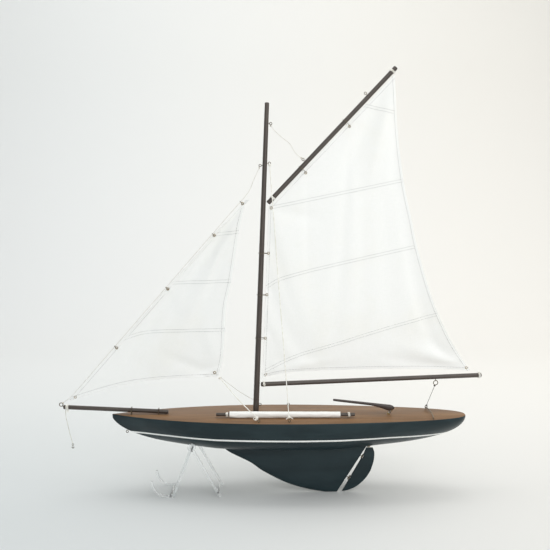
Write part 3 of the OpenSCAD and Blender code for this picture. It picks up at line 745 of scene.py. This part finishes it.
def board(grid, half_at):
    """A board from a grid of (station, height) points, half_at thick each side."""
    shape = Shape()
    rows, cols = len(grid), len(grid[0])
    both = []
    for side in (1, -1):
        for line in grid:
            both += [ship(s, side * half_at(s, z), z) for s, z in line]
    faces = []
    far = rows * cols
    for i in range(rows - 1):
        for k in range(cols - 1):
            f = (i * cols + k, i * cols + k + 1, (i + 1) * cols + k + 1, (i + 1) * cols + k)
            faces += [f, tuple(far + q for q in f)]
    border = [*range(cols)] + [i * cols + cols - 1 for i in range(1, rows)]
    border += [(rows - 1) * cols + k for k in range(cols - 2, -1, -1)]
    border += [i * cols for i in range(rows - 2, 0, -1)]
    for a, b in zip(border, border[1:] + border[:1]):
        faces.append((a, b, far + b, far + a))
    shape.add(both, faces)
    return shape


FIN_FORE = [
    [215, -58], [233, -76], [276, -98], [300, -115], [336, -134.5], [366, -146.3], [396, -154],
    [427, -159],
]
FIN_AFT = [[450.4, -159], [511, -62]]
FIN_ENDS, LEAD_TOP, BOARD_HALF, FIN_STEPS = (223, 509.5), -135, 5, 84
fin_fore = [list(p) for p in smooth(FIN_FORE, 4)]
fin_line = fin_fore + FIN_AFT


def fin_low(s):
    return value_at(fin_line, s)


def fin_half(s, z):
    fore = nearest(fin_line[:-1], s, z)
    aft = nearest(FIN_AFT, s, z)
    return min(rounded(fore, 1.3, BOARD_HALF, 11), rounded(aft, 1.6, BOARD_HALF, 26))


def fin_board(first, last, low, high, rows):
    """A board between a lower and an upper line, with its rows closer together low down."""
    grid = []
    for s in stations(first, last, FIN_STEPS):
        bottom, top = low(s), high(s)
        top = max(top, bottom + 0.2)
        grid.append([(s, bottom + (top - bottom) * (k / rows) ** 1.6) for k in range(rows + 1)])
    return board(grid, fin_half)


fin = fin_board(*FIN_ENDS, lambda s: max(fin_low(s), LEAD_TOP), lambda s: 2.5 - depth(s), 16)
finish_piece(fin.piece("keel_board", [ENAMEL_FIN], 50), "hull", "hull_paint", "keel_fin")
lead_ends = station_at(fin_fore[::-1], LEAD_TOP), station_at(FIN_AFT, LEAD_TOP)
lead = fin_board(*lead_ends, fin_low, lambda s: LEAD_TOP, 10)
finish_piece(lead.piece("lead_shoe", [ENAMEL_FIN], 50), "hull", "ballast_lead", "keel_ballast")

BLADE_AFT = [
    [521.5, -67.8], [524.6, -76], [525.2, -84], [524, -95], [521, -106], [517, -117], [511, -127],
    [505, -134.5], [498, -141.5], [491, -147.2], [483, -151.8], [475, -155], [468, -157],
    [460.5, -158.2],
]
BLADE_FORE = [
    [460.5, -158.2], [473.8, -134], [475.6, -130.8], [500.6, -86.5], [502.4, -83.3], [508.5, -68.7],
]
BLADE_FOOT, BLADE_TOP, BLADE_ROWS, BLADE_STEPS = -158, -68.5, 44, 18
blade_aft = [list(p) for p in smooth(BLADE_AFT, 3)]


def blade_half(s, z):
    aft = nearest(blade_aft, s, z)
    fore = nearest(BLADE_FORE, s, z)
    return min(rounded(aft, 0.8, 3, 16), rounded(fore, 1.6, 3, 3))


def blade_row(z):
    fore = station_at(BLADE_FORE, z)
    aft = max(station_at(blade_aft[::-1], z), fore + 0.4)
    return [(s, z) for s in stations(fore, aft, BLADE_STEPS)]


blade_rows = [blade_row(z) for z in stations(BLADE_FOOT, BLADE_TOP, BLADE_ROWS)]
blade_piece = board(blade_rows, blade_half).piece("rudder_board", [ENAMEL_FIN], 50)


def cut_away(piece, cutters):
    """Cuts shapes out of a piece, and removes them."""
    for cutter in cutters:
        cut = piece.modifiers.new("cut", "BOOLEAN")
        cut.operation, cut.solver, cut.object = "DIFFERENCE", "EXACT", cutter
    cut_piece = piece.evaluated_get(bpy.context.evaluated_depsgraph_get())
    cut_mesh = bpy.data.meshes.new_from_object(cut_piece)
    piece.modifiers.clear()
    piece.data = cut_mesh
    for cutter in cutters:
        bpy.data.objects.remove(cutter)


# The blade is notched round the two gudgeon eyes
NOTCH_R, NOTCH_HALF, NOTCH_HEIGHTS = 4.3, 3, (-101, -152)
notches = []
for height in NOTCH_HEIGHTS:
    notch = Shape()
    notch.lathe(STOCK, [(NOTCH_R, height - NOTCH_HALF), (NOTCH_R, height + NOTCH_HALF)], 32)
    notches.append(notch.piece(f"notch{height}", []))
cut_away(blade_piece, notches)
finish_piece(blade_piece, "rudder", "hull_paint", "rudder_blade")


# ---- Spars
DOME_RISE, DOME_IN, DOME_STEPS, DOWEL_STEPS, UNTRUE = 0.35, 0.45, 6, 40, 0.012


def dome(radius, tip, way):
    """Points of a rounded end of a dowel, from its side to its tip."""
    points = []
    for k in range(1, DOME_STEPS + 1):
        w = math.pi / 2 * k / DOME_STEPS
        rise = DOME_RISE * radius * (math.sin(w) - 1)
        points.append((radius * (1 - DOME_IN + DOME_IN * math.cos(w)), tip + way * rise))
    return points


def dowel(name, axes, low, high, low_r, high_r, material, body, replaced):
    """A round spar with softened ends, very slightly out of true as turned wood is."""
    profile = dome(low_r, low, -1)[::-1]
    side_low, side_high = low + DOME_RISE * low_r, high - DOME_RISE * high_r
    for k in range(DOWEL_STEPS + 1):
        t = k / DOWEL_STEPS
        radius = low_r + (high_r - low_r) * t
        radius *= 1 + UNTRUE * noise.noise(Vector((t * 9, len(name), 0.3)))
        profile.append((radius, side_low + (side_high - side_low) * t))
    profile += dome(high_r, high, 1)
    shape = Shape()
    shape.lathe(axes, profile)
    finish_piece(shape.piece(name, [material], 60), body, "spar_wood", replaced)


dowel("mast_spar", MAST, -MAST_HEEL, MAST_H, MAST_R, MAST_TOP_R, MAST_WOOD, "hull", "mast")
dowel("boom_spar", BOOM, 0, BOOM_LEN, SPAR_R, SPAR_R, BOOM_WOOD, "boom", "boom")
dowel("gaff_spar", GAFF, -2, GAFF_LEN - 2, SPAR_R, SPAR_R, GAFF_WOOD, "gaff", "gaff")
for name, axes, ends, radius, replaced in (
    ("bowsprit_spar", BOWSPRIT, (0, BOWSPRIT_LEN), BOWSPRIT_R, "bowsprit"),
    ("stowed_dowel", ROLL, (210.6, 482.6), STOWED_R, "stowed_spar"),
):
    dowel(name, axes, *ends, radius, radius, DECK_SPAR_WOOD, "hull", replaced)

# The tiller is carved: a thin handle that swells into a head over the stock
TILLER_TOP = [[441.5, 30.2], [444, 31], [530, 21.6], [556, 18.8], [561, 16.8], [563.6, 14.4]]
TILLER_LOW = [
    [441.5, 27.4], [444, 26.2], [520, 17.2], [533, 13.8], [553, 6.6], [561, 8.2], [563.6, 11.4],
]
TILLER_HALF = [[441.5, 0.9], [443.5, 1.7], [500, 2.2], [535, 3.5], [558, 3.5], [563.6, 2.2]]
SQUARENESS = 0.62
tiller = Shape()
rings = []
for s in stations(TILLER_TOP[0][0], TILLER_TOP[-1][0], 60):
    top, low, half = (value_at(line, s) for line in (TILLER_TOP, TILLER_LOW, TILLER_HALF))
    ring = []
    for w in around(28):
        c, d = math.cos(w), math.sin(w)
        y = half * math.copysign(abs(c) ** SQUARENESS, c)
        z = (top + low) / 2 + (top - low) / 2 * math.copysign(abs(d) ** SQUARENESS, d)
        ring.append(ship(s, y, z))
    rings.append(ring)
tiller.loft(rings)
finish_piece(tiller.piece("tiller_stick", [TILLER_WOOD], 60), "rudder", "spar_wood", "tiller")


# ---- Sails
CLOTH_T, SEAM_HALF, SEAM_LIFT, HEM, HEM_LIFT = 0.4, 2.6, 0.42, 6, 0.38
STITCH_LEN, STITCH_GAP, STITCH_R, STITCH_LIFT, STITCH_SINK = 2.4, 0.7, 0.34, 0.18, 0.17
CLOTH = {
    "quality": 7, "mass": 0.15, "air_damping": 2.0, "tension_stiffness": 30, "compression_stiffness": 30,
    "shear_stiffness": 12, "bending_stiffness": 0.25, "vertex_group_mass": "held",
}


class Sail:
    """A sail cut flat between four edges, then settled under its own weight where it is held."""

    def __init__(self, axes, foot, leech, head, luff, across, up, belly):
        self.axes = axes
        foot, head = (evenly(smooth(edge, 4), across) for edge in (foot, head))
        leech, luff = (evenly(smooth(edge, 4), up) for edge in (leech, luff))
        a = np.linspace(0, 1, across + 1)[:, None, None]
        b = np.linspace(0, 1, up + 1)[None, :, None]
        sides = (1 - b) * foot[:, None] + b * head[:, None] + (1 - a) * luff[None] + a * leech[None]
        low = (1 - a) * (1 - b) * foot[0] + a * (1 - b) * foot[-1]
        high = (1 - a) * b * head[0] + a * b * head[-1]
        self.flat = (sides - low - high).reshape(-1, 2)
        hollow = np.sin(np.pi * a**0.8) * (0.4 + 0.6 * np.sin(np.pi * b)) * (1 - b**6)
        self.places = [axes.at(u, belly * h, v) for (u, v), h in zip(self.flat, hollow.ravel())]
        self.quads = []
        for i in range(across):
            for k in range(up):
                q = i * (up + 1) + k
                self.quads.append((q, q + up + 1, q + up + 2, q + 1))
        self.tree = BVHTree.FromPolygons([(u, 0, v) for u, v in self.flat], self.quads)
        self.outline = {"foot": foot, "leech": leech, "head": head, "luff": luff}

    def flat_area(self):
        total = 0
        for quad in self.quads:
            x, z = self.flat[list(quad)].T
            total += abs(np.dot(x, np.roll(z, -1)) - np.dot(z, np.roll(x, -1))) / 2
        return total * MM * MM

    def settle(self, name, holes, reach, steps):
        """Cloth simulation, held at the holes, with each point kept near its flat place."""
        mesh = bpy.data.meshes.new(name)
        mesh.from_pydata([tuple(p) for p in self.places], [], self.quads)
        piece = placed(name, mesh)
        held = []
        for hole in holes:
            away = np.linalg.norm(self.flat - np.array(hole), axis=1)
            held += [int(k) for k in np.argsort(away)[:5]]
        piece.vertex_groups.new(name="held").add(held, 1.0, "REPLACE")
        for k in held:
            u, v = self.flat[k]
            mesh.vertices[k].co = self.axes.at(u, 0, v)
        cloth = piece.modifiers.new("Cloth", "CLOTH")
        for key, value in CLOTH.items():
            setattr(cloth.settings, key, value)
        cloth.settings.effector_weights.gravity = 0.3
        cloth.collision_settings.use_collision = False
        cloth.point_cache.frame_start, cloth.point_cache.frame_end = 1, steps
        for step in range(1, steps + 1):
            scene.frame_set(step)
        settled = piece.evaluated_get(bpy.context.evaluated_depsgraph_get()).to_mesh()
        back = self.axes.turned.transposed()
        for k, vertex in enumerate(settled.vertices):
            u, v = self.flat[k]
            local = back @ (vertex.co - self.axes.origin) / MM
            shift = Vector((local.x - u, local.y, local.z - v))
            if shift.length > reach:
                shift *= reach / shift.length
            self.places[k] = self.axes.at(u + shift.x, shift.y, v + shift.z)
        bpy.data.objects.remove(piece)
        scene.frame_set(1)

    def fold(self, folds):
        """Soft folds from one flat point to another, so wide and high in mm, that fade at both ends."""
        for k, (u, v) in enumerate(self.flat):
            rise = 0
            for (from_u, from_v), (to_u, to_v), wide, high in folds:
                du, dv = to_u - from_u, to_v - from_v
                t = ((u - from_u) * du + (v - from_v) * dv) / (du * du + dv * dv)
                off = ((v - from_v) * du - (u - from_u) * dv) / math.hypot(du, dv)
                if 0 < t < 1:
                    rise += high * math.sin(math.pi * t) * math.exp(-((off / wide) ** 2))
            self.places[k] += self.axes.way(0, 1, 0) * rise * MM

    def at(self, u, v):
        """The settled place and the cloth's facing at a point of the flat sail."""
        _, _, index, _ = self.tree.find_nearest((u, 0, v))
        a, b, c, d = self.quads[index]
        origin = np.array(self.flat[a])
        ab, ad = self.flat[b] - origin, self.flat[d] - origin
        s, t = 0.5, 0.5
        for _ in range(4):
            bend = self.flat[a] - self.flat[b] + self.flat[c] - self.flat[d]
            gap = np.array((u, v)) - (origin + s * ab + t * ad + s * t * bend)
            slope = np.stack([ab + t * bend, ad + s * bend], axis=1)
            ds, dt = np.linalg.solve(slope, gap)
            s, t = s + ds, t + dt
        s, t = min(1.2, max(-0.2, s)), min(1.2, max(-0.2, t))
        pa, pb, pc, pd = (self.places[k] for k in (a, b, c, d))
        place = pa * (1 - s) * (1 - t) + pb * s * (1 - t) + pc * s * t + pd * (1 - s) * t
        facing = (pb - pa).lerp(pc - pd, t).cross((pd - pa).lerp(pc - pb, s)).normalized()
        if facing.dot(self.axes.way(0, 1, 0)) < 0:
            facing.negate()
        return place, facing

    def piece(self, name, material):
        shape = Shape()
        shape.add(self.places, self.quads)
        piece = shape.piece(name, [material], 80)
        finer = piece.modifiers.new("finer", "SUBSURF")
        finer.levels = finer.render_levels = 1
        thick = piece.modifiers.new("thick", "SOLIDIFY")
        thick.thickness, thick.offset = CLOTH_T * MM, 0
        return piece

    def strip(self, shape, line, left, right, lift):
        """A doubled strip of cloth along a line of the flat sail, proud of both faces by lift."""
        lift *= MM
        rings = []
        for p, across in walk(line):
            (a, fa), (b, fb) = self.at(*(p + across * left)), self.at(*(p + across * right))
            rings.append([a + fa * lift, b + fb * lift, b - fb * lift, a - fa * lift])
        shape.loft(rings)

    def stitches(self, shape, line, offset, lift):
        """A row of stitches beside a line of the flat sail, on both faces of a strip."""
        path = np.array([p + across * offset for p, across in walk(line)])
        run = run_along(path)
        start = 1.0
        while start + STITCH_LEN < run[-1]:
            marks = [start, start + STITCH_LEN / 2, start + STITCH_LEN]
            flat = [[np.interp(m, run, path[:, k]) for k in (0, 1)] for m in marks]
            found = [self.at(*q) for q in flat]
            for side in (1, -1):
                rise = (lift - STITCH_SINK, lift + STITCH_LIFT, lift - STITCH_SINK)
                line_up = [p + f * side * r * MM for (p, f), r in zip(found, rise)]
                shape.tube(line_up, lambda t: STITCH_R * MM * (0.55 + 1.8 * t * (1 - t)), 4)
            start += STITCH_LEN + STITCH_GAP


def walk(line):
    """Each point of a flat line with the direction across it."""
    line = [np.array(p, float) for p in line]
    out = []
    for p, way in zip(line, ways(line)):
        way = way / np.linalg.norm(way)
        out.append((p, np.array((-way[1], way[0]))))
    return out


def sew(sail, name, material, seams, body):
    """Seams, hems and their stitching: one piece of doubled cloth and one of thread."""
    doubled, thread = Shape(), Shape()
    for seam in seams:
        line = smooth(seam, 6) if len(seam) > 2 else evenly(seam, 40)
        sail.strip(doubled, line, -SEAM_HALF - 0.8, SEAM_HALF + 0.8, SEAM_LIFT)
        for side in (-1, 1):
            sail.stitches(thread, line, side * SEAM_HALF, SEAM_LIFT)
    inward = {"foot": 1, "leech": 1, "head": -1, "luff": -1}
    for edge, side in inward.items():
        line = sail.outline[edge]
        sail.strip(doubled, line, side * 0.1, side * HEM, HEM_LIFT)
        sail.stitches(thread, line, side * (HEM - 1.2), HEM_LIFT)
    cloth = finish_piece(doubled.piece(name + "_hems", [material], 50), body, "sailcloth")
    # The stitches' dark grey is partly painted seam shade.
    rows = finish_piece(thread.piece(name + "_stitches", [STITCH_AND_SEAM_SHADE]), body, "thread")
    return cloth, rows


MAIN_FOOT = [[1.7, 14], [42, 23.5], [95, 28.5], [153, 31], [240, 34], [343, 34.5], [430, 32]]
MAIN_LEECH = [
    [430, 32], [400, 71], [375, 110], [338, 185], [304, 281], [289, 336], [268, 415], [250, 525],
    [240, 618],
]
MAIN_HEAD = [[1, 352], [120, 485], [240, 618]]
MAIN_LUFF = [[1.7, 14], [1.4, 180], [1, 352]]
MAIN_SEAMS = [
    [(180, 557), (244, 545.5)],
    [(2, 350), (268, 414)],
    [(2, 194), (32.6, 212.3), (115.8, 237.1), (299, 283)],
    [(5.6, 26.9), (66.8, 57.7), (151, 85), (236, 112.6), (354, 148)],
]
HOOP_HEIGHTS, LACING = (93, 179.5, 261.5), (92, 217)


def under_gaff(along, drop):
    """The point of the flat sail so far along the gaff and so far under it."""
    c, d = math.cos(math.radians(GAFF_SLOPE)), math.sin(math.radians(GAFF_SLOPE))
    return (GAFF_OUT + along * c + drop * d, GAFF_UP + along * d - drop * c)


main_holes = [(3.6, v) for v in HOOP_HEIGHTS] + [(7, 20), (422, 37), (236.5, 609), (6, 350)]
main_holes += [under_gaff(along, 13) for along in LACING]
main = Sail(RIG, MAIN_FOOT, MAIN_LEECH, MAIN_HEAD, MAIN_LUFF, across=56, up=76, belly=9)
jib = Sail(
    LUFF,
    foot=[[1.5, 2], [39, 64], [77, 117], [132, 176], [194, 234]],
    leech=[[194, 234], [170, 275], [115, 345], [86, 396], [34, 479], [12, 521]],
    head=[[1.5, 538], [7, 529], [12, 521]],
    luff=[[1.5, 2], [1.5, 270], [1.5, 538]],
    across=30, up=66, belly=7,
)
JIB_SEAMS = [[(2, 440.5), (36.5, 479)], [(3, 315.5), (88, 395.5)], [(3, 169), (36, 215), (144, 316)]]
jib_holes = [(4.6, 145), (4.6, 301), (4.6, 441), (6.5, 15), (183, 235), (5.5, 524)]
main.settle("main_trial", main_holes, reach=15, steps=45)
jib.settle("jib_trial", jib_holes, reach=12, steps=45)

# Each fold has its two ends, its width and its height
MAIN_FOLDS = [
    [(440, 30), (225, 60), 9, 1.9], [(436, 36), (252, 90), 11, -1.8], [(430, 42), (290, 116), 12, 1.5],
    [(242, 616), (196, 400), 13, -4], [(228, 596), (128, 372), 15, 4],
    [(250, 560), (250, 380), 12, 2.5], [(0, 22), (170, 60), 9, -2], [(0, 346), (120, 330), 12, 2],
]
JIB_FOLDS = [
    [(6, 540), (34, 300), 9, 3.4], [(14, 520), (64, 280), 11, -3.4], [(12, 380), (40, 90), 12, 3],
    [(60, 380), (90, 150), 14, -3], [(196, 236), (70, 190), 10, 2.4], [(190, 240), (100, 300), 10, -2],
]
main.fold(MAIN_FOLDS)
jib.fold(JIB_FOLDS)
for sail, name, material, seams, held_by in (
    (main, "mainsail", MAIN_CLOTH, MAIN_SEAMS, ["boom_spar", "gaff_spar", "mast_hoops"]),
    (jib, "jib", JIB_CLOTH, JIB_SEAMS, ["forestay_thread"]),
):
    body = nodes[name]["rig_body"]
    cloth = sail.piece(name + "_cloth", material)
    finish_piece(cloth, body, "sailcloth", name)
    hems, rows = sew(sail, name, material, seams, body)
    sail.flat_area()

# The spare sail is rolled round its spar, a little askew, with ripples and creases in its outer turns
ROLL_FROM, ROLL_TO, ROLL_RINGS, ROLL_POINTS = 237, 454, 90, 105
ROLL_TURNS, ROLL_IN, ROLL_OUT, ROLL_LIFT = 2.4, 3.9, 6.2, 0.15
ROLL_EDGE, ROLL_SKEW, RIPPLE, CREASE, LIP, LIP_SHARE = 1.2, 0.012, 0.45, 1.6, 0.8, 0.07
roll = Shape()
rings = []
for s in stations(ROLL_FROM, ROLL_TO, ROLL_RINGS):
    lines = [[], []]
    for k in range(ROLL_POINTS + 1):
        t = k / ROLL_POINTS
        w = 2 * math.pi * ROLL_TURNS * t + ROLL_EDGE + ROLL_SKEW * (s - ROLL_FROM)
        c, d = math.cos(w), math.sin(w)
        ripple = noise.noise(Vector((s * 0.05, 2.2 * c, 2.2 * d + 4 * t)))
        crease = noise.noise(Vector((s * 0.11 + 1.3 * w, 1.7 * c, 1.7 * d))) ** 2
        middle = ROLL_IN + (ROLL_OUT - ROLL_IN) * t + (RIPPLE * ripple - CREASE * crease) * t
        middle += LIP * max(0, t - 1 + LIP_SHARE) / LIP_SHARE
        for line, r in zip(lines, (middle - CLOTH_T / 2, middle + CLOTH_T / 2)):
            line.append(ship(s, ROLL_Y + r * c, ROLL_Z + ROLL_LIFT + r * d))
    rings.append(lines[0] + lines[1][::-1])
roll.loft(rings)
roll_piece = roll.piece("rolled_cloth", [ROLL_CLOTH], 60)
finish_piece(roll_piece, "hull", "sailcloth", "rolled_sail")

# ---- Finish of the parts that keep their own shape
PLAIN = {
    WIRE: [
        "mast_hoops", "mast_eyes", "bowsprit_saddles", "bowsprit_eye", "stem_eye", "mainsheet_horse",
        "deck_eyes", "bobstay_hook", "rudder_gudgeons", "rudder_pintles", "boom_eye", "mainsheet_ring",
        "gaff_eyes", "gaff_hoops", "jib_hanks",
    ],
    BRASS: ["keel_bolts", "rudder_tube", "tiller_pin", "mainsail_eyelets", "jib_eyelets"],
    STEEL: ["rudder_stock"],
    PALE: ["deck_beams", "mast_step"],
    ACRYLIC: ["stand_port", "stand_starboard", "stand_bars"],
}
for material, names in PLAIN.items():
    for name in names:
        mesh = nodes[name].data
        mesh.materials.clear()
        mesh.materials.append(material)
# The acrylic's cut edges are softened
for name in PLAIN[ACRYLIC]:
    joined = nodes[name].modifiers.new("joined", "WELD")
    joined.merge_threshold = 0.01 * MM
    softened = nodes[name].modifiers.new("softened", "BEVEL")
    softened.width, softened.segments, softened.limit_method = 0.45 * MM, 2, "ANGLE"
    softened.angle_limit = math.radians(50)

# ---- Floor, backdrop and light
FLOOR_HALF, FLOOR_FRONT, FLOOR_BACK, WALL_TOP = 40.0, -40.0, 1.5, 8.0
BEND, BEND_STEPS = 1.2, 24
# The paper's colours carry painted light and shade: the floor is painted darker than the wall and darker
# still on the left, where the hull's shade falls, and the wall is painted cool on the left and warm on
# the right.
WALL_LEFT_COOL_LIGHT, WALL_RIGHT_WARM_LIGHT = (0.79, 0.80, 0.79, 1), (0.81, 0.79, 0.745, 1)
FLOOR_LEFT_PAINTED_SHADE, FLOOR_RIGHT = (0.66, 0.69, 0.69, 1), (0.72, 0.71, 0.68, 1)
profile = [(FLOOR_FRONT, 0), (FLOOR_BACK, 0)]
for k in range(1, BEND_STEPS + 1):
    w = math.pi / 2 * k / BEND_STEPS
    profile.append((FLOOR_BACK + BEND * math.sin(w), BEND * (1 - math.cos(w))))
profile.append((FLOOR_BACK + BEND, WALL_TOP))
backdrop = Shape()
backdrop.add(
    [(x, y, z) for y, z in profile for x in (-FLOOR_HALF, FLOOR_HALF)],
    [(2 * k, 2 * k + 1, 2 * k + 3, 2 * k + 2) for k in range(len(profile) - 1)],
)
paper = Paint("paper")
across, back, _ = paper.split(paper.local)
# Painted light and shade: tints from left to right, and a darker floor that blends up into the wall.
wall = paper.mix(paper.spread(across, -1.2, 1.2), WALL_LEFT_COOL_LIGHT, WALL_RIGHT_WARM_LIGHT)
floor = paper.mix(paper.spread(across, -0.6, 0.8), FLOOR_LEFT_PAINTED_SHADE, FLOOR_RIGHT)
paper_painted_light = paper.finish(paper.mix(paper.spread(back, -0.2, 1.6), floor, wall), 0.9)
backdrop.piece("backdrop", [paper_painted_light], 80)

# Each lamp is a square soft light with its place, the point it faces, its size and its watts
LAMP_COLOUR, SKY_COLOUR, SKY_STRENGTH = (1.0, 0.99, 0.98), (0.95, 0.98, 1.0, 1), 0.6
LAMPS = {
    "overhead": ((1.3, 0.2, 2.3), (0, 0, 0.1), 3.0, 34),
    "front": ((0.9, -2.9, 1.5), (0, 0, 0.4), 2.6, 37),
    "wall": ((-0.2, 0.4, 2.4), (0, 2.7, 1.0), 1.8, 22),
}
for name, (place, target, size, watts) in LAMPS.items():
    light = bpy.data.lights.new(name, "AREA")
    light.size, light.energy, light.color = size, watts, LAMP_COLOUR
    lamp = placed(name, light)
    lamp.location = place
    lamp.rotation_euler = (Vector(target) - Vector(place)).to_track_quat("-Z", "Y").to_euler()
sky = bpy.data.worlds.new("sky")
sky.use_nodes = True
background = sky.node_tree.nodes["Background"]
background.inputs["Color"].default_value = SKY_COLOUR
background.inputs["Strength"].default_value = SKY_STRENGTH
scene.world = sky
scene.view_settings.view_transform = "Standard"
